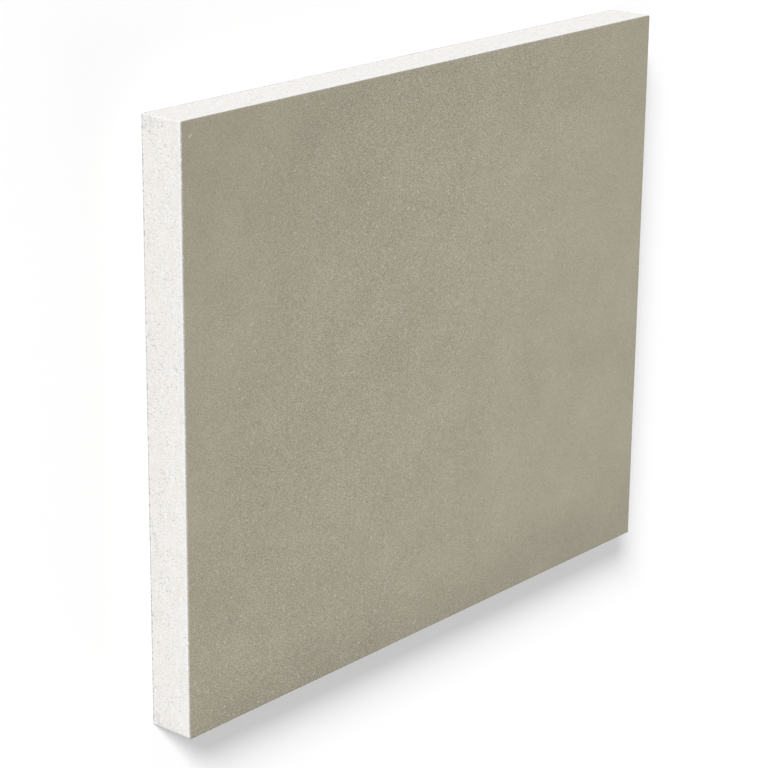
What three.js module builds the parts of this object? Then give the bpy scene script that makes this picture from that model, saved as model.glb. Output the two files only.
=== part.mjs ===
import * as THREE from "three";

// A square-cut sample of paper-faced gypsum board, lying with its face up.
// Millimetres, +Z up. The origin is the centre of the underside, which is the back paper's outer face.
// +X runs along the longer sawn edge, +Y along the shorter one, and +Z out of the face.

// Sizes of the sample and of the board that it was sawn from.
const sampleLength = 180; // along X, saw cut to saw cut
const sampleWidth = 150; // along Y, saw cut to saw cut
const boardThickness = 12.5; // over both papers
const facePaperThickness = 0.4;
const backPaperThickness = 0.4;
const cornerRadius = 0.3; // wear on the four upright corners between two saw cuts

const cornerFacets = 4; // flats round one worn corner

// Levels that neighbouring layers share.
const underside = 0;
const coreBottom = underside + backPaperThickness;
const boardTop = underside + boardThickness;
const coreTop = boardTop - facePaperThickness;

// The outline that one pass of the saw leaves on the core and both papers: a rectangle with worn corners.
function sawnOutline() {
  const outline = new THREE.Shape();
  const cornerX = sampleLength / 2 - cornerRadius;
  const cornerY = sampleWidth / 2 - cornerRadius;
  const quarterTurn = Math.PI / 2;
  const cornerCentres = [
    [cornerX, cornerY],
    [-cornerX, cornerY],
    [-cornerX, -cornerY],
    [cornerX, -cornerY],
  ];
  cornerCentres.forEach(([x, y], corner) => {
    const start = corner * quarterTurn;
    outline.absarc(x, y, cornerRadius, start, start + quarterTurn, false);
  });
  return outline;
}

// The outline extruded from one level to another. The ends are set to the two levels themselves,
// so that bonded layers meet on exactly the same plane.
function layerGeometry(bottom, top) {
  const geometry = new THREE.ExtrudeGeometry(sawnOutline(), {
    depth: top - bottom,
    bevelEnabled: false,
    curveSegments: cornerFacets / 2, // three.js gives an arc twice as many flats
  });
  const middle = (top - bottom) / 2;
  const position = geometry.getAttribute("position");
  for (let vertex = 0; vertex < position.count; vertex++) {
    position.setZ(vertex, position.getZ(vertex) < middle ? bottom : top);
  }
  return geometry;
}

function layer(name, bottom, top, material) {
  const mesh = new THREE.Mesh(layerGeometry(bottom, top), material);
  mesh.name = name;
  return mesh;
}

// Set gypsum, aerated when it was cast and bare wherever it was sawn.
const gypsum = new THREE.MeshStandardMaterial({ color: 0xf0ede8, roughness: 0.95, metalness: 0 });

// Recycled-fibre face paper, khaki grey.
const facePaper = new THREE.MeshStandardMaterial({ color: 0xa19c8a, roughness: 0.9, metalness: 0 });

// Back liner, a paler grey of the same recycled fibre.
const backPaper = new THREE.MeshStandardMaterial({ color: 0xb9b6ab, roughness: 0.9, metalness: 0 });

const board = new THREE.Group();
board.name = "gypsum_board_sample";
board.add(layer("back_paper", underside, coreBottom, backPaper));
board.add(layer("gypsum_core", coreBottom, coreTop, gypsum));
board.add(layer("face_paper", coreTop, boardTop, facePaper));

export default board;
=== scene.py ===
"""Finishes a sawn sample of paper-faced gypsum board, with its core and two liners, on a studio stage."""

import math
import random

import bmesh
import bpy
from bpy.props import FloatProperty, FloatVectorProperty, IntProperty, PointerProperty
from mathutils import Matrix, Vector, kdtree, noise


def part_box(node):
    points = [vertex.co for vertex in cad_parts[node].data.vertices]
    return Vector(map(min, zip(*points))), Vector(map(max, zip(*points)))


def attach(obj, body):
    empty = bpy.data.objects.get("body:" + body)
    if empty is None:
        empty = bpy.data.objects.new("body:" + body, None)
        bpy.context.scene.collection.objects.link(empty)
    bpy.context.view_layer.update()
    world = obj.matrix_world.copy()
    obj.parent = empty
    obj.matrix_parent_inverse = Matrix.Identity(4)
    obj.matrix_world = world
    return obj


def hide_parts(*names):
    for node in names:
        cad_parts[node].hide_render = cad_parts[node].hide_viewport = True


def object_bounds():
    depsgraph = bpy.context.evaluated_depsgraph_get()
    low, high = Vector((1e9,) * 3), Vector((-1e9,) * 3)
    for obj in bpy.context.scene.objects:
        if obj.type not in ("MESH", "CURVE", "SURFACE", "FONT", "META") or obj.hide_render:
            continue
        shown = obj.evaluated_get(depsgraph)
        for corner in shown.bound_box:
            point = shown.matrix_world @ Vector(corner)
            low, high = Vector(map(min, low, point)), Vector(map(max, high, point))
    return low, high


bl_info = {
    "name": "Gypsum Board Sample",
    "version": (1, 0, 0),
    "blender": (4, 5, 0),
    "location": "3D View > Sidebar > Gypsum Board",
    "description": "Builds a sawn sample of paper-faced gypsum board and its studio stage",
    "category": "Add Mesh",
}

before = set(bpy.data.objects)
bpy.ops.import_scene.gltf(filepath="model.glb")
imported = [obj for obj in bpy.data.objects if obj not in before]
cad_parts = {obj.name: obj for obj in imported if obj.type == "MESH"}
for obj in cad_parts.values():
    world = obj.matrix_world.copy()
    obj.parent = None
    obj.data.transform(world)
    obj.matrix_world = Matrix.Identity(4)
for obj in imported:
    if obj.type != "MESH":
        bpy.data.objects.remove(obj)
cad_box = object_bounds()

BODY = "root"
MM = 0.001
X, Y, Z = range(3)
WHITE = (1.0, 1.0, 1.0, 1.0)


# ---------------------------------------------------------------------------
# Settings
# ---------------------------------------------------------------------------


def length(name, description, millimetres):
    """A length property, its default given in millimetres."""
    return FloatProperty(
        name=name, description=description, default=millimetres * MM, min=0.0, unit="LENGTH", precision=5
    )


def coordinate(name, description, millimetres):
    """A place along one axis, its default given in millimetres."""
    return FloatProperty(
        name=name, description=description, default=millimetres * MM, unit="LENGTH", precision=5
    )


def colour(name, description, default):
    """A linear colour property."""
    return FloatVectorProperty(
        name=name, description=description, default=default, min=0.0, max=1.0, size=3, subtype="COLOR"
    )


def share(name, description, default):
    """A plain number from 0 to 1."""
    return FloatProperty(
        name=name, description=description, default=default, min=0.0, max=1.0, subtype="FACTOR"
    )


def angle(name, description, degrees):
    """An angle property, its default given in degrees."""
    return FloatProperty(name=name, description=description, default=math.radians(degrees), subtype="ANGLE")


class BoardSettings(bpy.types.PropertyGroup):
    """What the core and the liners share."""

    corner_radius: length("Corner wear", "Radius worn on the four upright corners", 0.3)
    seed: IntProperty(name="Seed", description="Start of the random numbers", default=7, min=0)


class CoreSettings(bpy.types.PropertyGroup):
    """The sawn gypsum core."""

    cell: length("Surface cell", "Spacing of the mesh over the sawn edges", 0.38)
    nap_depth: length("Nap depth", "Depth of the dusty nap that the saw leaves", 0.04)
    nap_grain: length("Nap grain", "Width of one grain of the nap", 0.8)
    stroke_depth: length("Stroke depth", "Depth of the long marks that run with the saw", 0.035)
    stroke_length: length("Stroke length", "Length of one saw mark", 11.0)
    stroke_width: length("Stroke width", "Width of one saw mark across the thickness", 0.55)
    chip_depth: length("Chip depth", "Deepest crumbling under the liners", 0.12)
    chip_height: length("Chip height", "How far the crumbling reaches from a liner", 0.7)
    bubble_count: IntProperty(name="Bubbles", description="Opened air bubbles", default=12, min=0)
    bubble_smallest: length("Smallest bubble", "Radius of the smallest opened bubble", 0.25)
    bubble_largest: length("Largest bubble", "Radius of the largest opened bubble", 0.5)
    pore_share: share("Pore share", "Share of the cells that hold a sunk pore, mid-thickness", 0.02)
    pore_depth: length("Pore depth", "Depth of a pinhole pore", 0.08)
    warm_white: colour("Warm white", "Set gypsum in the body of the core", (0.842, 0.815, 0.771))
    bright_white: colour("Bright white", "Smeared and denser gypsum", (0.904, 0.896, 0.889))
    pore_grey: colour("Pore grey", "Shade inside pores and bubbles", (0.600, 0.594, 0.607))
    dense_band: length("Dense band", "Height of the denser gypsum beside each liner", 0.6)
    end_coarseness: share("End coarseness", "How open the gypsum is on the two short edges", 1.0)
    side_coarseness: share("Side coarseness", "How open the gypsum is on the two long edges", 0.12)
    worn_reach: length("Worn reach", "How far the rubbed gypsum reaches from an upright corner", 5.5)


class LinerSettings(bpy.types.PropertyGroup):
    """The two paper liners."""

    cell: length("Sheet cell", "Spacing of the mesh over the broad face", 2.0)
    rim_cuts: IntProperty(
        name="Rim cuts", description="Extra points along each cell of the rim", default=5, min=1
    )
    arris: length("Arris", "Softening of the sheet's outer arris", 0.07)
    rim_strip: length("Rim strip", "Width of the strip beside the arris that bends with it", 0.6)
    fray_depth: length("Fray depth", "How far the sawn edge frays back", 0.1)
    fray_grain: length("Fray grain", "Width of one frayed tuft", 0.45)
    cockle_depth: length("Cockle depth", "Depth of the broad waves in the sheet", 0.07)
    cockle_width: length("Cockle width", "Width of one broad wave", 38.0)
    face_deep: colour("Face deep tone", "Deepest khaki-grey in the face paper", (0.225, 0.2045, 0.1525))
    face_pale: colour("Face pale tone", "Palest khaki-grey in the face paper", (0.4935, 0.461, 0.357))
    back_deep: colour("Back deep tone", "Deepest grey in the back paper", (0.344, 0.327, 0.279))
    back_pale: colour("Back pale tone", "Palest grey in the back paper", (0.679, 0.663, 0.601))
    contrast: share("Contrast", "Share of lighter and darker that the deep and pale tones stand for", 0.36)
    cut_tone: colour("Cut tone", "Open fibres of a sawn paper edge", (0.470, 0.462, 0.460))
    face_dust: share("Face dust", "Share of the face liner's sawn edge that is dusty", 0.35)
    back_dust: share("Back dust", "Share of the back liner's sawn edge that is dusty", 0.55)
    dust_tone: colour("Dust tone", "Gypsum dust held by the sawn paper edges", (0.850, 0.835, 0.815))
    fleck_tone: colour("Fleck tone", "Stray bleached fibres in the paper", (0.610, 0.610, 0.625))
    fibre_turn: angle("Fibre turn", "Slant of the paper's fibres, turned from +Y", 60.0)
    # The next four settings paint light and shade into the paper: paler towards +X, darker towards +Y and
    # along the -Y side.
    painted_light: share("Paling", "How much paler the paper is towards its +X end", 0.045)
    far_painted_shade: share("Far toning", "How much darker the paper is towards its +Y side", 0.055)
    near_painted_shade: share("Near toning", "How much darker the paper is along its -Y side", 0.13)
    near_shade_band: length("Near rim", "Width of the darker rim on the -Y side", 20.0)


class StageSettings(bpy.types.PropertyGroup):
    """Floor, light and camera."""

    floor_size: length("Floor size", "Side of the floor", 8000.0)
    floor_bounce: share("Floor bounce", "Share of the light that the floor gives back", 0.22)
    sky_level: share("Sky level", "Even light from all round", 0.535)
    key_level: share("Key level", "Light from the key lamp on a surface that faces it", 1.0)
    key_azimuth: angle("Key azimuth", "Where the key lamp stands, turned from -Y", 224.5)
    key_elevation: angle("Key elevation", "Height of the key lamp over the floor", 25.0)
    key_softness: angle("Key softness", "Width of the key lamp seen from the board", 18.0)
    fill_level: share("Fill level", "Light from the fill lamp, across from the key lamp", 0.25)
    fill_elevation: angle("Fill elevation", "Height of the fill lamp over the floor", 10.0)
    fill_softness: angle("Fill softness", "Width of the fill lamp seen from the board", 35.0)
    camera_azimuth: angle("Camera azimuth", "Where the camera stands, turned from -Y", -113.37)
    camera_elevation: angle("Camera elevation", "Height of the camera over the floor", 37.73)
    camera_roll: angle("Camera roll", "Turn of the camera about its own axis", 105.4)
    camera_distance: length("Camera distance", "From the camera to the point it looks at", 656.4)
    aim_x: coordinate("Aim X", "Where the camera looks, along X", -12.47)
    aim_y: coordinate("Aim Y", "Where the camera looks, along Y", -6.22)
    focal_length: FloatProperty(
        name="Focal length", description="Focal length of the lens", default=121.67, min=1.0, unit="CAMERA"
    )


# ---------------------------------------------------------------------------
# Node helpers
# ---------------------------------------------------------------------------

MIX_FIRST, MIX_SECOND, MIX_RESULT = 6, 7, 2  # the sockets for colours on a Mix node
SIDE_TILT = 0.7  # the second tilt of a grain, as a share of the first
SPOT_RIM = 1.3  # where a spot fades out, as a share of its radius
SPOT_HEART = 0.6  # where a spot is full, as a share of its radius
FAINTEST_SPOT = 0.4  # strength of the faintest spot, the strongest being 1


class NodeKit:
    """A node tree with short calls for the nodes that the finishes share."""

    def __init__(self, tree):
        self.tree = tree
        self.tree.nodes.clear()

    def node(self, kind, inputs=None, **settings):
        """Adds a node. An input is given a value, or another node's output to be linked to."""
        made = self.tree.nodes.new(kind)
        for name, value in settings.items():
            setattr(made, name, value)
        for key, value in (inputs or {}).items():
            if isinstance(value, bpy.types.NodeSocket):
                self.tree.links.new(value, made.inputs[key])
            else:
                made.inputs[key].default_value = value
        return made

    def math(self, operation, *values):
        """One step of arithmetic on numbers or other nodes' outputs."""
        made = self.node("ShaderNodeMath", dict(enumerate(values)), operation=operation)
        return made.outputs[0]

    def object_place(self):
        """The place on the object, in metres from its origin."""
        return self.node("ShaderNodeTexCoord").outputs["Object"]

    def attribute(self, name):
        """A number kept on the mesh's points."""
        return self.node("ShaderNodeAttribute", attribute_name=name).outputs["Fac"]

    def stretched(self, place, grain, turn=0.0, shift=0.0, tilt=0.0):
        """Coordinates moved and turned, in which a grain of the given size on each axis measures one."""
        turned = self.node(
            "ShaderNodeMapping",
            {"Vector": place, "Rotation": (tilt, SIDE_TILT * tilt, turn), "Location": (shift, shift, shift)},
        )
        scaled = self.node(
            "ShaderNodeVectorMath",
            {0: turned.outputs[0], 1: tuple(1.0 / size for size in grain)},
            operation="MULTIPLY",
        )
        return scaled.outputs[0]

    def cloud(self, place, grain, detail=2.0, roughness=0.5):
        """Soft noise about 0.5, with a grain of the given size in metres."""
        made = self.node(
            "ShaderNodeTexNoise",
            {"Vector": place, "Scale": 1.0 / grain, "Detail": detail, "Roughness": roughness},
        )
        return made.outputs["Fac"]

    def spots(self, place, spacing, radius, kept):
        """Soft spots of the given radius, some fainter, in the kept share of cells of the given spacing."""
        cells = self.node("ShaderNodeTexVoronoi", {"Vector": place, "Scale": 1.0 / spacing})
        rim = SPOT_RIM * radius / spacing
        heart = SPOT_HEART * radius / spacing
        near = self.ramp(cells.outputs["Distance"], rim, heart)
        picked = self.node("ShaderNodeSeparateColor", {"Color": cells.outputs["Color"]})
        chosen = self.math("LESS_THAN", picked.outputs["Red"], kept)
        squared = self.math("POWER", picked.outputs["Green"], 2.0)
        strength = self.math("MULTIPLY_ADD", squared, 1.0 - FAINTEST_SPOT, FAINTEST_SPOT)
        return self.math("MULTIPLY", near, self.math("MULTIPLY", strength, chosen))

    def ramp(self, value, start, end, kind="SMOOTHSTEP"):
        """0 at start, 1 at end, and smooth or straight between them."""
        made = self.node(
            "ShaderNodeMapRange",
            {"Value": value, "From Min": start, "From Max": end, "To Min": 0.0, "To Max": 1.0},
            interpolation_type=kind,
        )
        return made.outputs["Result"]

    def tint(self, factor, first, second):
        """One colour turning to another with the factor."""
        sockets = {0: factor, MIX_FIRST: first, MIX_SECOND: second}
        made = self.node("ShaderNodeMix", sockets, data_type="RGBA")
        return made.outputs[MIX_RESULT]

    def swing(self, *parts):
        """The sum of some (noise, strength) pairs, each noise first centred on 0."""
        total = 0.0
        for field, strength in parts:
            centred = self.math("MULTIPLY_ADD", field, strength, -0.5 * strength)
            total = self.math("ADD", centred, total)
        return total

    def scaled(self, base, swing):
        """The base colour times 1 and the swing together."""
        level = self.math("ADD", swing, 1.0)
        made = self.node("ShaderNodeVectorMath", {0: base, "Scale": level}, operation="SCALE")
        return made.outputs[0]

    def emboss(self, shader, relief, strength, height):
        """Gives the shader a relief of the given height in metres."""
        bump = self.node("ShaderNodeBump", {"Height": relief, "Strength": strength, "Distance": height})
        self.tree.links.new(bump.outputs[0], shader.inputs["Normal"])


def opaque(rgb):
    """A colour setting as the four numbers that a colour socket takes."""
    return (rgb[0], rgb[1], rgb[2], 1.0)


def finish_material(name, roughness, specular):
    """A matt material: its nodes and its shader, joined to the output."""
    material = bpy.data.materials.new(name)
    material.use_nodes = True
    nodes = NodeKit(material.node_tree)
    shader = nodes.node(
        "ShaderNodeBsdfPrincipled",
        {"Roughness": roughness, "Specular IOR Level": specular},
    )
    nodes.node("ShaderNodeOutputMaterial", {"Surface": shader.outputs["BSDF"]})
    return material, nodes, shader


# ---------------------------------------------------------------------------
# Gypsum finish
# ---------------------------------------------------------------------------

GYPSUM_GRAIN = 0.3 * MM
GYPSUM_CLOT = 0.42 * MM
GYPSUM_BLOTCH = 2.4 * MM
SAW_STREAK = (3.4 * MM, 3.4 * MM, 0.9 * MM)
STREAK_SHARE = 0.3  # share of the saw's streaks in the smears, the rest being clots
FACE_SKIN = 0.2  # share of the thickness, under the face, where the gypsum is at its tightest
SMEAR_LOSS = 0.045  # what coarse gypsum under the face takes off the noise of the smears
SMEAR_LOSS_GROWTH = 0.04  # what is added to that at the back
SMEAR_EDGE = (0.476, 0.488)  # noise level at which a smear starts and is full
GRAIN_SWING = 0.05  # how much lighter and darker the grain is
BLOTCH_SWING = 0.015
GYPSUM_STRENGTH = 0.4  # share of the relief that shows
GYPSUM_RELIEF = 0.08 * MM
STREAK_RELIEF = 0.6  # height of the streaks against that of the grain

FACE_BAND = (1.0, 0.3)  # where the dense gypsum under the face starts and is full, in dense bands
BACK_BAND = (0.7, 0.1)  # the same over the back
FACE_DENSITY = 0.6  # how far the dense gypsum under the face turns bright
BACK_DENSITY = 0.4

PORE_PATCH = 7.0 * MM
PATCH_EDGE = (0.42, 0.66)  # noise level at which a porous patch starts and is full
PATCH_GAPS = 0.25  # porosity between the patches, as a share of that in them
FACE_POROSITY = 0.6
POROSITY_GROWTH = 0.35  # what is added to that at the back
WORN_POROSITY = 0.7  # what full wear adds to the porosity
PINHOLE = 0.38 * MM
PINHOLE_SHIFT = 5.0 * MM  # keeps the pinholes apart from the pattern of the clots
PINHOLE_GAIN = 0.14  # how far full porosity raises the noise of the pinholes
PINHOLE_EDGE = (0.804, 0.816)  # noise level at which a pinhole starts and is full

SCUFF = 1.1 * MM
SCUFF_GAIN = 0.35  # how far full wear raises the noise of the scuffs
SCUFF_EDGE = (0.70, 0.74)  # noise level at which a scuff starts and is full
SCUFF_GREY = 0.35  # how far a scuff turns to the pore grey


def gypsum_whites(nodes, core, place, strokes, coarse, towards_back):
    """Warm white gypsum with brighter smears, fewer where it is coarse and towards the back."""
    clots = nodes.cloud(place, GYPSUM_CLOT, detail=1.0)
    clotted = nodes.math("MULTIPLY", clots, 1.0 - STREAK_SHARE)
    mixed = nodes.math("MULTIPLY_ADD", strokes, STREAK_SHARE, clotted)
    loss = nodes.math("MULTIPLY_ADD", towards_back, SMEAR_LOSS_GROWTH, SMEAR_LOSS)
    coarse_loss = nodes.math("MULTIPLY", coarse, loss)
    smeared = nodes.ramp(nodes.math("SUBTRACT", mixed, coarse_loss), *SMEAR_EDGE)
    return nodes.tint(smeared, opaque(core.warm_white), opaque(core.bright_white))


def dense_bands(nodes, core, whites, height, low, high):
    """The whites, turned brighter in a band beside each liner."""
    under_face = nodes.ramp(height, *(high.z - bands * core.dense_band for bands in FACE_BAND))
    over_back = nodes.ramp(height, *(low.z + bands * core.dense_band for bands in BACK_BAND))
    face_dense = nodes.math("MULTIPLY", under_face, FACE_DENSITY)
    dense = nodes.math("MULTIPLY_ADD", over_back, BACK_DENSITY, face_dense)
    return nodes.tint(dense, whites, opaque(core.bright_white))


def gypsum_pinholes(nodes, place, coarse, worn, towards_back):
    """1 in the pinholes. There are more in patches, in coarse or worn gypsum and towards the back."""
    patches = nodes.ramp(nodes.cloud(place, PORE_PATCH, detail=2.0), *PATCH_EDGE)
    openness = nodes.math("MULTIPLY_ADD", towards_back, POROSITY_GROWTH, FACE_POROSITY)
    patchy = nodes.math("MULTIPLY_ADD", patches, 1.0 - PATCH_GAPS, PATCH_GAPS)
    porous = nodes.math("MULTIPLY", nodes.math("MULTIPLY", openness, patchy), coarse)
    porous_worn = nodes.math("MULTIPLY_ADD", worn, WORN_POROSITY, porous)
    moved = nodes.stretched(place, (1.0, 1.0, 1.0), shift=PINHOLE_SHIFT)
    noise_level = nodes.cloud(moved, PINHOLE, detail=0.0)
    raised = nodes.math("MULTIPLY_ADD", porous_worn, PINHOLE_GAIN, noise_level)
    return nodes.ramp(raised, *PINHOLE_EDGE)


def gypsum_scuffs(nodes, place, worn):
    """Grey scuffs, more of them where the gypsum is worn."""
    noise_level = nodes.cloud(place, SCUFF, detail=2.0)
    raised = nodes.math("MULTIPLY_ADD", worn, SCUFF_GAIN, noise_level)
    return nodes.math("MULTIPLY", nodes.ramp(raised, *SCUFF_EDGE), SCUFF_GREY)


def gypsum_material(core, low, high):
    """Sawn gypsum: chalky, streaked along the saw's strokes, denser beside the liners, with painted shade in
    its pores and on its arrises.
    """
    material, nodes, shader = finish_material("sawn_gypsum", roughness=0.95, specular=0.25)
    place = nodes.object_place()
    height = nodes.node("ShaderNodeSeparateXYZ", {"Vector": place}).outputs["Z"]
    coarse = nodes.attribute("coarse")
    worn = nodes.attribute("worn")
    towards_back = nodes.ramp(height, high.z - FACE_SKIN * (high.z - low.z), low.z)
    grain = nodes.cloud(place, GYPSUM_GRAIN, detail=1.0)
    blotches = nodes.cloud(place, GYPSUM_BLOTCH, detail=3.0)
    strokes = nodes.cloud(nodes.stretched(place, SAW_STREAK), 1.0, detail=2.0)

    whites = gypsum_whites(nodes, core, place, strokes, coarse, towards_back)
    banded = dense_bands(nodes, core, whites, height, low, high)
    pinholes = gypsum_pinholes(nodes, place, coarse, worn, towards_back)
    # Pinholes, bubbles and sunk pores take the pore grey, which is painted shade in their hollows.
    hollow = nodes.math("MAXIMUM", pinholes, nodes.attribute("pore"))
    # The arrises turn grey with painted shade, and the scuffs turn grey with wear.
    greyed = nodes.math("MAXIMUM", nodes.attribute("arris"), gypsum_scuffs(nodes, place, worn))
    pitted = nodes.tint(nodes.math("MAXIMUM", hollow, greyed), banded, opaque(core.pore_grey))
    shaded = nodes.scaled(pitted, nodes.swing((blotches, BLOTCH_SWING), (grain, GRAIN_SWING)))
    nodes.tree.links.new(shaded, shader.inputs["Base Color"])

    streaked = nodes.math("MULTIPLY_ADD", strokes, STREAK_RELIEF, grain)
    relief = nodes.math("MULTIPLY_ADD", pinholes, -1.0, streaked)
    nodes.emboss(shader, relief, GYPSUM_STRENGTH, GYPSUM_RELIEF)
    return material


# ---------------------------------------------------------------------------
# Paper finish
# ---------------------------------------------------------------------------

GRAIN_SQUEEZE = 0.85  # width of the paper's grain across its fibres, for a length of 1
GRAIN_TILT = 0.6  # turns the grain's noise out of the plane of the sheet, in radians
FORMATION = 16.0 * MM
FLOCK = 3.0 * MM
TUFT = 1.1 * MM
PAPER_GRAIN = 0.22 * MM
PAPER_FIBRE = (0.25 * MM, 1.1 * MM, 1.1 * MM)
FORMATION_SWING = 0.20  # how much lighter and darker the broadest clouds are
FLOCK_SWING = 0.085
TUFT_SWING = 0.015
NAP_SWING = 1.7
FIBRE_SWING = 0.12
PAPER_STRENGTH = 0.35  # share of the relief that shows
PAPER_RELIEF = 0.06 * MM
FIBRE_RELIEF = 0.35  # height of the fibres against that of the grain
STRAY_RELIEF = 0.15  # height of the stray fibres against that of the grain

BAND_SLANT = 0.4  # how far the bands across the sheet move along X for each step along Y
CALM_START = (0.53, 1.17)  # where the nap starts to calm and is calm towards -X, in halves of the sheet
CALM_END = (-0.17, 0.89)  # the same towards +X
CALMED = 0.75  # what the calm ends take off the nap's strength
ADDED_NAP = 0.35  # what is added to the nap's strength everywhere
RIM_SLANT = 0.06  # how far the painted shade along both long sides moves along Y for each step along X
FAR_START = 0.45  # where the painted shade towards +Y starts, in halves of the sheet
PAINTED_LIGHT_REACH = 0.5  # how far the painted light towards +X reaches on either side of the middle, in halves of the sheet

BLEACHED_START = (1.1, 0.33)  # where the short strays start and are full, from -X, in halves of the sheet
BLEACHED_END = (0.67, 0.0)  # the same from +X
LONG_STRAYS = {"spacing": 6.0 * MM, "radius": 0.7 * MM, "kept": 0.025}
LONG_SQUEEZE = 0.3  # width of a long stray fibre for a length of 1
LONG_TURN = 0.8  # slant of a long stray fibre, as a share of that of the paper's fibres
LONG_STRENGTH = 0.6
SHORT_STRAYS = {"spacing": 1.8 * MM, "radius": 0.3 * MM}
SHORT_SQUEEZE = 0.4  # width of a short stray fibre for a length of 1
SHORT_LAYERS = ((1.0, 0.32), (0.35, 0.16))  # slant, as a share of the fibres', and share of cells kept

DUST = 0.6 * MM
DUST_EDGE = (0.42, 0.58)  # noise level at which a dusty spot starts and is full


def paper_nap(nodes, fast, slanting, low, high):
    """The fine grain and the fibres, calmer towards both ends of the sheet."""
    calm_start = nodes.ramp(slanting, *(part * low.x for part in CALM_START), kind="LINEAR")
    calm_end = nodes.ramp(slanting, *(part * high.x for part in CALM_END), kind="LINEAR")
    calm = nodes.math("ADD", calm_start, calm_end)
    lively = nodes.math("MULTIPLY_ADD", calm, -CALMED, 1.0)
    return nodes.math("MULTIPLY", fast, nodes.math("ADD", lively, ADDED_NAP))


def painted_light_and_shade(nodes, liner, axes, low, high):
    """Painted light and shade, slow over the sheet: paler towards +X, and darker towards both long sides."""
    leaning = nodes.math("MULTIPLY_ADD", axes["X"], -RIM_SLANT, axes["Y"])
    far_shade = nodes.math("MULTIPLY", nodes.ramp(leaning, FAR_START * high.y, high.y), -liner.far_painted_shade)
    # Painted shade along the -Y side, darkest at the edge.
    near_shade_band = nodes.ramp(leaning, low.y + liner.near_shade_band, low.y)
    rims = nodes.math("MULTIPLY_ADD", near_shade_band, -liner.near_painted_shade, far_shade)
    painted_light = nodes.ramp(axes["X"], PAINTED_LIGHT_REACH * low.x, PAINTED_LIGHT_REACH * high.x)
    return nodes.math("ADD", nodes.swing((painted_light, liner.painted_light)), rims)


def stray_fibres(nodes, liner, moved, slanting, low, high):
    """Bleached stray fibres: a few long ones all over, and short ones in a slanting band."""
    slim = nodes.stretched(moved, (LONG_SQUEEZE, 1.0, 1.0), turn=LONG_TURN * liner.fibre_turn)
    strays = nodes.math("MULTIPLY", nodes.spots(slim, **LONG_STRAYS), LONG_STRENGTH)
    band_start = nodes.ramp(slanting, *(part * low.x for part in BLEACHED_START))
    band_end = nodes.ramp(slanting, *(part * high.x for part in BLEACHED_END))
    band = nodes.math("MULTIPLY", band_start, band_end)
    for turn, kept in SHORT_LAYERS:
        slender = nodes.stretched(moved, (SHORT_SQUEEZE, 1.0, 1.0), turn=turn * liner.fibre_turn)
        laid_down = nodes.spots(slender, kept=nodes.math("MULTIPLY", band, kept), **SHORT_STRAYS)
        strays = nodes.math("MAXIMUM", laid_down, strays)
    return strays


def dusty_cut(nodes, liner, place, dust):
    """The open fibres of a sawn paper edge, dusted with gypsum over the given share."""
    noise_level = nodes.cloud(place, DUST, detail=2.0)
    dusted = nodes.ramp(nodes.math("ADD", noise_level, dust - 0.5), *DUST_EDGE)
    return nodes.tint(dusted, opaque(liner.cut_tone), opaque(liner.dust_tone))


def paper_material(name, liner, tones, dust, shift, low, high):
    """Uncoated recycled paper: cloudy, with slanting fibres, pale stray ones and dusty cut edges, under
    painted light and shade.
    """
    material, nodes, shader = finish_material(name, roughness=0.9, specular=0.2)
    place = nodes.object_place()
    axes = nodes.node("ShaderNodeSeparateXYZ", {"Vector": place}).outputs
    moved = nodes.stretched(place, (1.0, 1.0, 1.0), shift=shift)
    laid = nodes.stretched(moved, (GRAIN_SQUEEZE, 1.0, 1.0), turn=liner.fibre_turn, tilt=GRAIN_TILT)
    formation = nodes.cloud(laid, FORMATION, detail=3.0)
    flocks = nodes.cloud(laid, FLOCK, detail=2.0)
    tufts = nodes.cloud(laid, TUFT, detail=1.0)
    grain = nodes.cloud(laid, PAPER_GRAIN, detail=1.0)
    fibres = nodes.cloud(nodes.stretched(moved, PAPER_FIBRE, turn=liner.fibre_turn), 1.0, detail=0.0)
    slanting = nodes.math("MULTIPLY_ADD", axes["Y"], -BAND_SLANT, axes["X"])

    slow = nodes.swing((formation, FORMATION_SWING), (flocks, FLOCK_SWING), (tufts, TUFT_SWING))
    fast = nodes.swing((grain, NAP_SWING), (fibres, FIBRE_SWING))
    napped = paper_nap(nodes, fast, slanting, low, high)
    # Painted light and shade, slow over the sheet.
    painted_tone = painted_light_and_shade(nodes, liner, axes, low, high)
    level = nodes.math("ADD", nodes.math("ADD", slow, napped), painted_tone)
    between = nodes.math("MULTIPLY_ADD", level, 0.5 / liner.contrast, 0.5)
    ground = nodes.tint(between, opaque(tones[0]), opaque(tones[1]))
    strays = stray_fibres(nodes, liner, moved, slanting, low, high)
    flecked = nodes.tint(strays, ground, opaque(liner.fleck_tone))
    edged = nodes.tint(nodes.attribute("sawn"), flecked, dusty_cut(nodes, liner, place, dust))
    nodes.tree.links.new(edged, shader.inputs["Base Color"])

    stray_relief = nodes.math("MULTIPLY_ADD", strays, STRAY_RELIEF, grain)
    relief = nodes.math("MULTIPLY_ADD", fibres, FIBRE_RELIEF, stray_relief)
    nodes.emboss(shader, relief, PAPER_STRENGTH, PAPER_RELIEF)
    return material


# ---------------------------------------------------------------------------
# Mesh helpers
# ---------------------------------------------------------------------------

STRAIGHT = 0.999  # a direction follows an axis when more than this share of it lies along the axis
SLACK = 0.01  # how far off its level a point may lie, as a share of a cell or an arris
INNER_SHARE = 0.1  # how far past the corners' centres is still inside, as a share of the corner wear
CORNER_STEPS = 3
ARRIS_STEPS = 2


def runs_along(edge, axis):
    """Whether an edge is parallel to one axis."""
    span = edge.verts[1].co - edge.verts[0].co
    return abs(span[axis]) > STRAIGHT * span.length


def lies_at(edge, level, slack):
    """Whether both ends of an edge lie at a level."""
    return all(abs(vertex.co.z - level) < slack for vertex in edge.verts)


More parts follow.
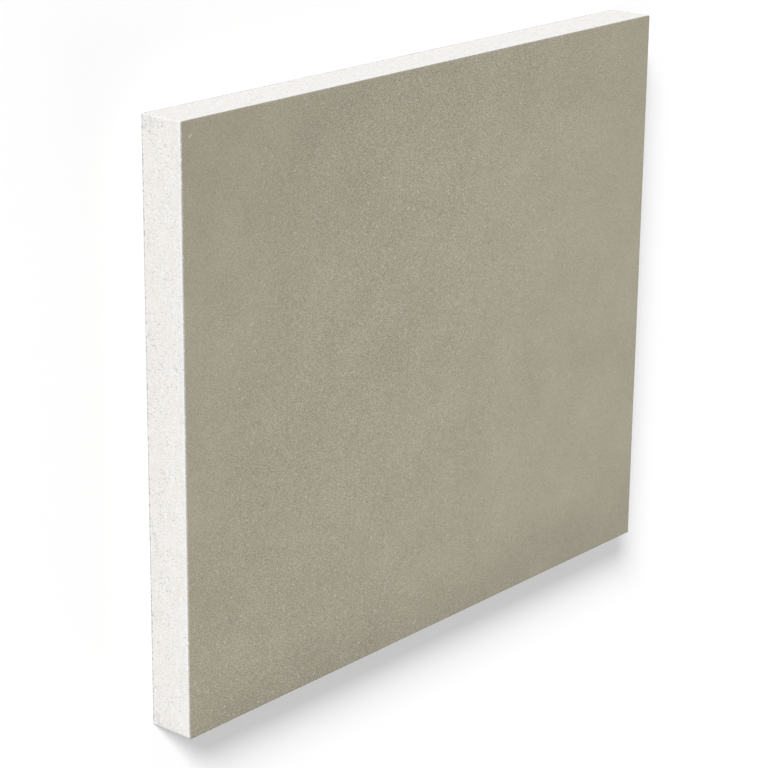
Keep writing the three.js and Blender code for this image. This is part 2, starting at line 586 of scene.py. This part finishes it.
def above_zero(level):
    """A noise level from -1 to 1, as one from 0 to 1."""
    return 0.5 + 0.5 * level


def outward(point, low, high, corner_radius):
    """The level direction out of the board at a point of its sawn edge, or None inside the board."""
    away = Vector((0.0, 0.0, 0.0))
    for axis in (X, Y):
        inner = min(max(point[axis], low[axis] + corner_radius), high[axis] - corner_radius)
        away[axis] = point[axis] - inner
    if away.length < INNER_SHARE * corner_radius:
        return None
    return away.normalized()


def sawn_blank(low, high, corner_radius):
    """A closed block with its four upright corners worn round."""
    blank = bmesh.new()
    bmesh.ops.create_cube(blank, size=1.0)
    bmesh.ops.scale(blank, vec=high - low, verts=blank.verts)
    bmesh.ops.translate(blank, vec=(low + high) / 2, verts=blank.verts)
    upright = [edge for edge in blank.edges if runs_along(edge, Z)]
    bmesh.ops.bevel(
        blank, geom=upright, offset=corner_radius, offset_type="OFFSET",
        segments=CORNER_STEPS, profile=0.5, affect="EDGES", material=-1,
    )
    return blank


def cut_between(edges, cell, mesh):
    """Subdivides edges of one length so that no piece is much longer than the cell."""
    cuts = max(1, round(edges[0].calc_length() / cell)) - 1
    bmesh.ops.subdivide_edges(mesh, edges=edges, cuts=cuts, use_grid_fill=True)


def finished_piece(name, mesh, material, node):
    """Turns a bmesh into the piece that stands for a CAD node."""
    data = bpy.data.meshes.new(name)
    mesh.to_mesh(data)
    mesh.free()
    data.materials.append(material)
    piece = bpy.data.objects.new(name, data)
    bpy.context.scene.collection.objects.link(piece)
    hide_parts(node)
    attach(piece, BODY)
    return piece


# ---------------------------------------------------------------------------
# Gypsum core
# ---------------------------------------------------------------------------

BROAD = 0.9  # faces whose direction is upright by more than this are the broad sides
BUBBLE_DROP = 1.25  # above 1, it draws the bubbles towards the back
BUBBLE_SPAN = (0.04, 0.96)  # part of each edge that bubbles open on
BUBBLE_RARITY = 3  # above 1, it makes the larger bubbles rarer
BUBBLE_DEPTH = 0.14  # depth of an opened bubble against its radius
BUBBLE_SHADE = 0.45  # painted shade: how far a bubble turns to the pore grey at its deepest
GREYEST = 0.3  # depth at which the painted shade in a bubble is darkest, in radii of the smallest bubble
JITTER = 0.25  # how far a point is moved along the sawn surface, in cells
NAP_NOISE = (1.0, 2.0, 3)  # falloff, step in scale and number of layers of the nap's noise
CRUMB_GRAIN = 3.0  # width of a crumbled spot, in grains of the nap
CRUMB_START = 0.05  # noise level at which the gypsum starts to crumble
RAGGED_GRAIN = 0.3  # width of one rag of the corner wear, as a share of its reach
RAGGED_SWING = 1.2  # how much more or less worn the rags are
SIDE_WEAR = 0.3  # corner wear on the long edges against that on the short ones
ARRIS_SHADE = 0.65  # painted shade on the arris where two sides would meet sharp, dimming the bright line the lamps give it
ARRIS_FADE = 0.52  # how much of that is lost over one corner radius
PORE_WALLS = (0.12, 0.19, 0.26)  # width of the sloping walls of each kind of pore, in cells
WALL_SHARE = 0.6  # share of a pore's depth in its walls, the rest being in its pointed floor
PORE_SHADE = 0.6  # painted shade in a sunk pore, as a share of the pore grey


def sawn_sides(low, high, corner_radius, cell):
    """The core's block with an even fine mesh over its four sawn sides and one face on each broad side."""
    block = sawn_blank(low, high, corner_radius)
    broad = [face for face in block.faces if abs(face.normal.z) > BROAD]
    bmesh.ops.delete(block, geom=broad, context="FACES_ONLY")
    for axis in (X, Y):
        long_edges = [e for e in block.edges if runs_along(e, axis) and e.calc_length() > 2 * cell]
        cut_between(long_edges, cell, block)
    cut_between([e for e in block.edges if runs_along(e, Z)], cell, block)
    rims = [edge for edge in block.edges if edge.is_boundary]
    bmesh.ops.holes_fill(block, edges=rims, sides=0)
    bmesh.ops.recalc_face_normals(block, faces=block.faces)
    for face in block.faces:
        face.smooth = abs(face.normal.z) < BROAD
    for rim in rims:
        rim.smooth = False
    return block


def scatter_bubbles(core, low, high, dice):
    """Opened air bubbles over the four sawn sides: a search tree of their centres, and their radii."""
    spans = (high.x - low.x, high.y - low.y)
    growth = core.bubble_largest - core.bubble_smallest
    tree = kdtree.KDTree(core.bubble_count)
    radii = []
    for index in range(core.bubble_count):
        axis = X if dice.random() < spans[X] / (spans[X] + spans[Y]) else Y
        centre = Vector((0.0, 0.0, low.z + (high.z - low.z) * dice.random() ** BUBBLE_DROP))
        centre[axis] = low[axis] + spans[axis] * dice.uniform(*BUBBLE_SPAN)
        centre[1 - axis] = dice.choice((low[1 - axis], high[1 - axis]))
        radii.append(core.bubble_smallest + growth * dice.random() ** BUBBLE_RARITY)
        tree.insert(centre, index)
    tree.balance()
    return tree, radii


def bubble_hollow(point, tree, radii, reach):
    """Depth of the deepest opened bubble at a point of the sawn surface."""
    deepest = 0.0
    for _, index, distance in tree.find_range(point, reach):
        radius = radii[index]
        if distance < radius:
            hollow = BUBBLE_DEPTH * radius * math.sqrt(1.0 - (distance / radius) ** 2)
            deepest = max(deepest, hollow)
    return deepest


def sawn_relief(start, from_liner, core):
    """How far the saw's nap and strokes and the crumbling under a liner take the surface back."""
    nap = core.nap_depth * above_zero(noise.fractal(start / core.nap_grain, *NAP_NOISE))
    stroke_place = Vector((start.x, start.y, 0.0)) / core.stroke_length
    stroke_place.z = start.z / core.stroke_width
    stroke = core.stroke_depth * above_zero(noise.noise(stroke_place))
    crumble = max(0.0, noise.noise(start / (CRUMB_GRAIN * core.nap_grain)) - CRUMB_START)
    chip = core.chip_depth * crumble * max(0.0, 1.0 - from_liner / core.chip_height)
    return max(nap, 0.0) + stroke + chip


def corner_wear_and_shade(point, away, low, high, reach, radius):
    """How worn the gypsum is near an upright corner, and how much painted shade darkens its arris.

    The wear is greatest at the back of the short edges.
    """
    inset = Vector([min(point[axis] - low[axis], high[axis] - point[axis]) for axis in (X, Y)])
    to_corner = inset.length
    towards_back = (high.z - point.z) / (high.z - low.z)
    ragged = 1.0 + RAGGED_SWING * noise.noise(point / (RAGGED_GRAIN * reach))
    facing = SIDE_WEAR + (1.0 - SIDE_WEAR) * abs(away.x)
    patch = max(0.0, 1.0 - to_corner / reach) * ragged * towards_back * facing
    # Painted shade on the arris, fading away from the corner.
    arris_shade = max(0.0, ARRIS_SHADE - ARRIS_FADE * to_corner / radius)
    return min(patch, 1.0), min(arris_shade, 1.0)


def carve_sides(block, core, board, low, high, dice):
    """Moves the fine mesh inwards: saw strokes, nap, crumbling under the liners and opened bubbles."""
    # pore and arris hold painted shade; coarse and worn hold how open and worn the gypsum is.
    pore = block.verts.layers.float.new("pore")
    coarse = block.verts.layers.float.new("coarse")
    worn = block.verts.layers.float.new("worn")
    arris = block.verts.layers.float.new("arris")
    reach, radius = core.worn_reach, board.corner_radius
    tree, radii = scatter_bubbles(core, low, high, dice)
    for vertex in block.verts:
        start = vertex.co.copy()
        away = outward(start, low, high, radius)
        from_liner = min(start.z - low.z, high.z - start.z)
        on_rim = from_liner < SLACK * core.cell
        if max(abs(away.x), abs(away.y)) > STRAIGHT:
            vertex.co += Vector((-away.y, away.x, 0.0)) * core.cell * dice.uniform(-JITTER, JITTER)
            if not on_rim:
                vertex.co.z += core.cell * dice.uniform(-JITTER, JITTER)
        hollow = bubble_hollow(start, tree, radii, core.bubble_largest)
        vertex.co -= away * (sawn_relief(start, from_liner, core) + hollow)
        # Painted shade in a bubble, darker where it is deeper.
        vertex[pore] = min(1.0, hollow / (GREYEST * core.bubble_smallest)) * BUBBLE_SHADE
        vertex[coarse] = core.end_coarseness * abs(away.x) + core.side_coarseness * abs(away.y)
        vertex[worn], vertex[arris] = corner_wear_and_shade(start, away, low, high, reach, radius)
    return pore


def open_pores(block, core, low, high, dice, pore):
    """Sinks pinhole pores into single cells of the sawn sides, more of them towards the back."""
    thickness = high.z - low.z
    picked = []
    for face in block.faces:
        if not face.smooth:
            continue
        centre = face.calc_center_median()
        from_liner = min(centre.z - low.z, high.z - centre.z)
        against_middle = 2.0 * (high.z - centre.z) / thickness
        if from_liner > core.cell and dice.random() < core.pore_share * against_middle:
            picked.append(face)
    dice.shuffle(picked)
    floor_drop = (1.0 - WALL_SHARE) * core.pore_depth
    for index, wall in enumerate(PORE_WALLS):
        group = picked[index :: len(PORE_WALLS)]
        bmesh.ops.inset_individual(
            block, faces=group, thickness=wall * core.cell, depth=-WALL_SHARE * core.pore_depth,
            use_even_offset=True,
        )
        for face in group:
            for vertex in face.verts:
                # Painted shade inside the sunk pore.
                vertex[pore] = PORE_SHADE
        bmesh.ops.poke(block, faces=group, offset=-floor_drop, center_mode="MEAN")


class GYPSUM_OT_build_core(bpy.types.Operator):
    """Build the gypsum core with its four sawn edges"""

    bl_idname = "gypsum_board.build_core"
    bl_label = "Build Gypsum Core"

    def execute(self, context):
        board = context.scene.gypsum_board
        core = context.scene.gypsum_core
        low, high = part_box("gypsum_core")
        dice = random.Random(board.seed)
        block = sawn_sides(low, high, board.corner_radius, core.cell)
        pore = carve_sides(block, core, board, low, high, dice)
        open_pores(block, core, low, high, dice, pore)
        material = gypsum_material(core, low, high)
        finished_piece("sawn_core", block, material, "gypsum_core")
        return {"FINISHED"}


# ---------------------------------------------------------------------------
# Paper liners
# ---------------------------------------------------------------------------

NEAR = 0.001 * MM  # two places that are no farther apart than this count as one
BENT = 0.99  # faces whose direction is upright by less than this bend into the edge
RIM_STEP = 0.5  # rim edges longer than this, in cells, get the fine points
OUTER_CUT = 0.9  # how far behind the outer face the sawn edge starts, in arrises
FACE_SHIFT = 3.0  # where each liner starts in the noise, so that the two differ
BACK_SHIFT = 11.0


def cut_into_cells(sheet, low, high, liner):
    """Cuts a sheet into even cells, with a narrow strip along each of its sides."""
    for axis in (X, Y):
        span = high[axis] - low[axis]
        columns = round(span / liner.cell)
        normal = Vector([1.0 if step == axis else 0.0 for step in range(3)])
        stations = [low[axis] + span * column / columns for column in range(1, columns)]
        stations += [low[axis] + liner.rim_strip, high[axis] - liner.rim_strip]
        for station in stations:
            everything = sheet.verts[:] + sheet.edges[:] + sheet.faces[:]
            bmesh.ops.bisect_plane(
                sheet, geom=everything, dist=NEAR, plane_co=normal * station, plane_no=normal
            )


def refine_rim(sheet, liner):
    """Adds the fine points along the rim, at which it can fray, and a row of points halfway up its edge."""
    rim = [
        edge for edge in sheet.edges
        if not runs_along(edge, Z)
        and abs(edge.verts[0].co.z - edge.verts[1].co.z) < NEAR
        and edge.calc_length() > RIM_STEP * liner.cell
        and any(abs(face.normal.z) < BENT for face in edge.link_faces)
    ]
    bmesh.ops.subdivide_edges(sheet, edges=rim, cuts=liner.rim_cuts, use_grid_fill=True)
    upright = [edge for edge in sheet.edges if runs_along(edge, Z)]
    bmesh.ops.subdivide_edges(sheet, edges=upright, cuts=1, use_grid_fill=True)


def liner_sheet(low, high, board, liner, outer_level):
    """A closed sheet of paper with a softened outer arris, a grid over its faces and a fine rim."""
    sheet = sawn_blank(low, high, board.corner_radius)
    arris = [edge for edge in sheet.edges if lies_at(edge, outer_level, SLACK * liner.arris)]
    bmesh.ops.bevel(
        sheet, geom=arris, offset=liner.arris, offset_type="OFFSET",
        segments=ARRIS_STEPS, profile=0.5, affect="EDGES", material=-1,
    )
    cut_into_cells(sheet, low, high, liner)
    refine_rim(sheet, liner)
    bmesh.ops.recalc_face_normals(sheet, faces=sheet.faces)
    return sheet


def weather_sheet(sheet, low, high, board, liner, outer, shift):
    """Frays the sheet's sawn edge back and gives its outer face its broad shallow waves."""
    sawn = sheet.verts.layers.float.new("sawn")
    middle = (low.z + high.z) / 2
    outer_level, inner_level = (high.z, low.z) if outer > 0 else (low.z, high.z)
    for vertex in sheet.verts:
        start = vertex.co.copy()
        away = outward(start, low, high, board.corner_radius)
        if away is not None:
            tuft = above_zero(noise.noise(start / liner.fray_grain + Vector((shift, shift, shift))))
            vertex.co -= away * liner.fray_depth * max(tuft, 0.0)
            vertex[sawn] = 1.0 if abs(start.z - outer_level) > OUTER_CUT * liner.arris else 0.0
        if (start.z - middle) * outer > 0.0:
            wave = above_zero(noise.noise(start / liner.cockle_width + Vector((shift, 0.0, 0.0))))
            vertex.co.z -= outer * liner.cockle_depth * max(wave, 0.0)
    for face in sheet.faces:
        face.smooth = True
    for edge in sheet.edges:
        edge.smooth = not lies_at(edge, inner_level, SLACK * liner.arris)


def build_liner(context, node, name, tones, dust, outer, shift):
    """One liner, whose outer face looks up (outer = 1) or down (outer = -1)."""
    board = context.scene.gypsum_board
    liner = context.scene.gypsum_liner
    low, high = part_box(node)
    sheet = liner_sheet(low, high, board, liner, high.z if outer > 0 else low.z)
    weather_sheet(sheet, low, high, board, liner, outer, shift)
    material = paper_material(name + "_paper", liner, tones, dust, shift * MM, low, high)
    return finished_piece(name, sheet, material, node)


class GYPSUM_OT_build_face_liner(bpy.types.Operator):
    """Build the khaki-grey face paper"""

    bl_idname = "gypsum_board.build_face_liner"
    bl_label = "Build Face Liner"

    def execute(self, context):
        liner = context.scene.gypsum_liner
        build_liner(
            context, node="face_paper", name="face_liner_sheet",
            tones=(liner.face_deep, liner.face_pale), dust=liner.face_dust, outer=1, shift=FACE_SHIFT,
        )
        return {"FINISHED"}


class GYPSUM_OT_build_back_liner(bpy.types.Operator):
    """Build the paler back paper"""

    bl_idname = "gypsum_board.build_back_liner"
    bl_label = "Build Back Liner"

    def execute(self, context):
        liner = context.scene.gypsum_liner
        build_liner(
            context, node="back_paper", name="back_liner_sheet",
            tones=(liner.back_deep, liner.back_pale), dust=liner.back_dust, outer=-1, shift=BACK_SHIFT,
        )
        return {"FINISHED"}


# ---------------------------------------------------------------------------
# Stage
# ---------------------------------------------------------------------------

FLOOR_CELLS = 8
CLIP_START = 0.01  # nearest and farthest that the camera sees, in metres
CLIP_END = 100.0


def seen_directly(nodes):
    """1 for what the camera sees itself, or in gloss or through glass, and 0 for light that bounces."""
    path = nodes.node("ShaderNodeLightPath")
    mirrored = nodes.math("MAXIMUM", path.outputs["Is Glossy Ray"], path.outputs["Is Transmission Ray"])
    return nodes.math("MAXIMUM", path.outputs["Is Camera Ray"], mirrored)


def floor_material(stage):
    """A white floor that keeps its shadows, and gives back less light than it shows."""
    material = bpy.data.materials.new("studio_floor")
    material.use_nodes = True
    nodes = NodeKit(material.node_tree)
    bounce = nodes.node("ShaderNodeBsdfDiffuse", {"Color": opaque([stage.floor_bounce] * 3)})
    shown = nodes.node("ShaderNodeBsdfDiffuse", {"Color": WHITE})
    mixed = nodes.node(
        "ShaderNodeMixShader", {0: seen_directly(nodes), 1: bounce.outputs[0], 2: shown.outputs[0]}
    )
    nodes.node("ShaderNodeOutputMaterial", {"Surface": mixed.outputs[0]})
    return material


def build_floor(stage, level):
    """A flat floor under the board."""
    mesh = bmesh.new()
    bmesh.ops.create_grid(
        mesh, x_segments=FLOOR_CELLS, y_segments=FLOOR_CELLS, size=stage.floor_size / 2
    )
    bmesh.ops.translate(mesh, vec=(0.0, 0.0, level), verts=mesh.verts)
    data = bpy.data.meshes.new("floor")
    mesh.to_mesh(data)
    mesh.free()
    data.materials.append(floor_material(stage))
    floor = bpy.data.objects.new("floor", data)
    bpy.context.scene.collection.objects.link(floor)


def build_sky(stage):
    """An even sky that lights the board softly and shows as plain white."""
    world = bpy.data.worlds.new("studio_sky")
    world.use_nodes = True
    nodes = NodeKit(world.node_tree)
    light = nodes.node("ShaderNodeBackground", {"Color": WHITE, "Strength": stage.sky_level})
    white = nodes.node("ShaderNodeBackground", {"Color": WHITE, "Strength": 1.0})
    mixed = nodes.node(
        "ShaderNodeMixShader", {0: seen_directly(nodes), 1: light.outputs[0], 2: white.outputs[0]}
    )
    nodes.node("ShaderNodeOutputWorld", {"Surface": mixed.outputs[0]})
    bpy.context.scene.world = world


def towards(azimuth, elevation):
    """The direction to something that stands at an azimuth, turned from -Y, and an elevation."""
    level = math.cos(elevation)
    return Vector((math.sin(azimuth) * level, -math.cos(azimuth) * level, math.sin(elevation)))


def build_lamp(name, level, softness, direction):
    """A broad lamp, far away, that stands in a direction from the board."""
    data = bpy.data.lights.new(name, "SUN")
    data.energy = math.pi * level
    data.angle = softness
    lamp = bpy.data.objects.new(name, data)
    lamp.matrix_world = direction.to_track_quat("Z", "Y").to_matrix().to_4x4()
    bpy.context.scene.collection.objects.link(lamp)


def build_camera(stage, aim):
    """A camera that looks at a point, rolled about its own axis."""
    data = bpy.data.cameras.new("camera")
    data.lens = stage.focal_length
    data.clip_start = CLIP_START
    data.clip_end = CLIP_END
    camera = bpy.data.objects.new("camera", data)
    back = towards(stage.camera_azimuth, stage.camera_elevation)
    facing = back.to_track_quat("Z", "Y").to_matrix().to_4x4()
    rolled = facing @ Matrix.Rotation(stage.camera_roll, 4, "Z")
    camera.matrix_world = Matrix.Translation(aim + back * stage.camera_distance) @ rolled
    bpy.context.scene.collection.objects.link(camera)
    bpy.context.scene.camera = camera


class GYPSUM_OT_build_stage(bpy.types.Operator):
    """Build the floor, the light and the camera"""

    bl_idname = "gypsum_board.build_stage"
    bl_label = "Build Stage"

    def execute(self, context):
        stage = context.scene.gypsum_stage
        low, high = cad_box
        build_floor(stage, low[Z])
        build_sky(stage)
        key = towards(stage.key_azimuth, stage.key_elevation)
        build_lamp("key_lamp", stage.key_level, stage.key_softness, key)
        fill = towards(stage.key_azimuth + math.pi, stage.fill_elevation)
        build_lamp("fill_lamp", stage.fill_level, stage.fill_softness, fill)
        build_camera(stage, Vector((stage.aim_x, stage.aim_y, (low[Z] + high[Z]) / 2)))
        context.scene.view_settings.view_transform = "Standard"
        return {"FINISHED"}


# ---------------------------------------------------------------------------
# Panel and registration
# ---------------------------------------------------------------------------


class GYPSUM_PT_sidebar(bpy.types.Panel):
    """Lists the pieces of the gypsum board sample"""

    bl_label = "Gypsum Board"
    bl_idname = "GYPSUM_PT_sidebar"
    bl_space_type = "VIEW_3D"
    bl_region_type = "UI"
    bl_category = "Gypsum Board"

    def draw(self, context):
        column = self.layout.column(align=True)
        for operator in OPERATORS:
            column.operator(operator.bl_idname)


SETTINGS = {
    "gypsum_board": BoardSettings,
    "gypsum_core": CoreSettings,
    "gypsum_liner": LinerSettings,
    "gypsum_stage": StageSettings,
}
OPERATORS = (
    GYPSUM_OT_build_core,
    GYPSUM_OT_build_face_liner,
    GYPSUM_OT_build_back_liner,
    GYPSUM_OT_build_stage,
)


def register():
    for name, group in SETTINGS.items():
        bpy.utils.register_class(group)
        setattr(bpy.types.Scene, name, PointerProperty(type=group))
    for operator in OPERATORS:
        bpy.utils.register_class(operator)
    bpy.utils.register_class(GYPSUM_PT_sidebar)


def unregister():
    bpy.utils.unregister_class(GYPSUM_PT_sidebar)
    for operator in reversed(OPERATORS):
        bpy.utils.unregister_class(operator)
    for name, group in reversed(SETTINGS.items()):
        delattr(bpy.types.Scene, name)
        bpy.utils.unregister_class(group)


def main():
    register()
    bpy.ops.gypsum_board.build_core()
    bpy.ops.gypsum_board.build_face_liner()
    bpy.ops.gypsum_board.build_back_liner()
    bpy.ops.gypsum_board.build_stage()


if __name__ == "__main__":
    main()
